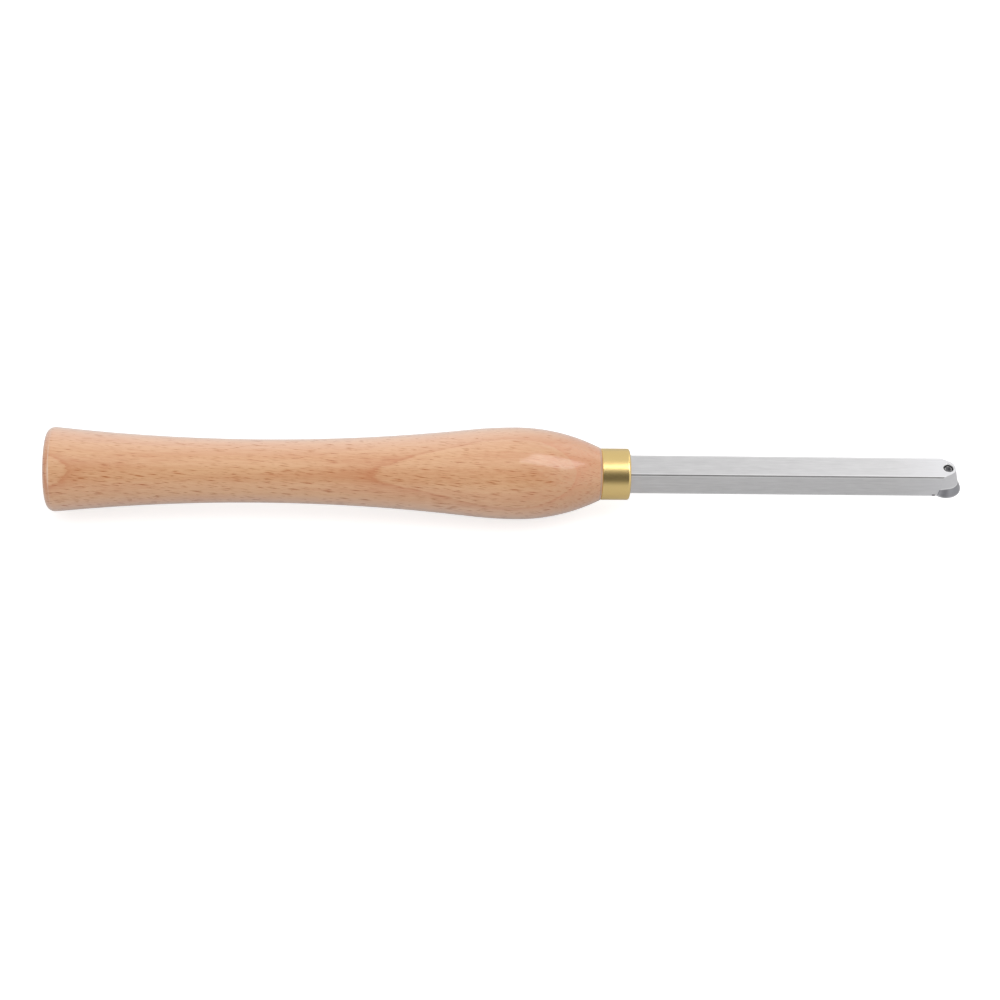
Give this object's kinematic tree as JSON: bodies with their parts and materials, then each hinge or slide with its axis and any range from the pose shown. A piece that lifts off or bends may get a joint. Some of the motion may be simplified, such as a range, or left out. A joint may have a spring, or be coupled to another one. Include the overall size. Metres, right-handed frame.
{
  "type": "carbide turning tool",
  "caption": "Hand tool for wood turning: a round cutter screwed to the relieved nose of a square steel bar, held by a turned wooden handle with a brass ferrule.",
  "frame": {"origin": "middle of the bar's underside where it leaves the ferrule", "axes": "+X along the tool towards the cutting edge, +Z out of the bar's underside, so that the cutter faces -Z as the tool lies in the picture; turned half a turn about X for use"},
  "size_m": [0.3311, 0.0332, 0.0332],
  "materials": {
    "beech": "clear lacquer over fine turned beech",
    "brass": "turned and polished",
    "bar_steel": "fine lengthwise grinding",
    "epoxy": "cured, dull",
    "carbide": "finely ground, dark",
    "screw_steel": "dark oiled steel"
  },
  "bodies": {
    "handle_and_bar": {"handle": "beech", "ferrule": "brass", "tang_adhesive": "epoxy", "tool_bar": "bar_steel"},
    "cutter": {"cutter": "carbide"},
    "cutter_screw": {"cutter_screw": "screw_steel"}
  },
  "joints": [
    {"name": "cutter_indexing", "type": "hinge", "parent": "handle_and_bar", "child": "cutter", "pos_m": [0.1159, 0, -0.0066], "axis": [0, 0, -1], "continuous": true},
    {"name": "screw_turning", "type": "hinge", "parent": "handle_and_bar", "child": "cutter_screw", "pos_m": [0.1159, 0, -0.0066], "axis": [0, 0, -1], "range_deg": [0, 3060]}
  ]
}
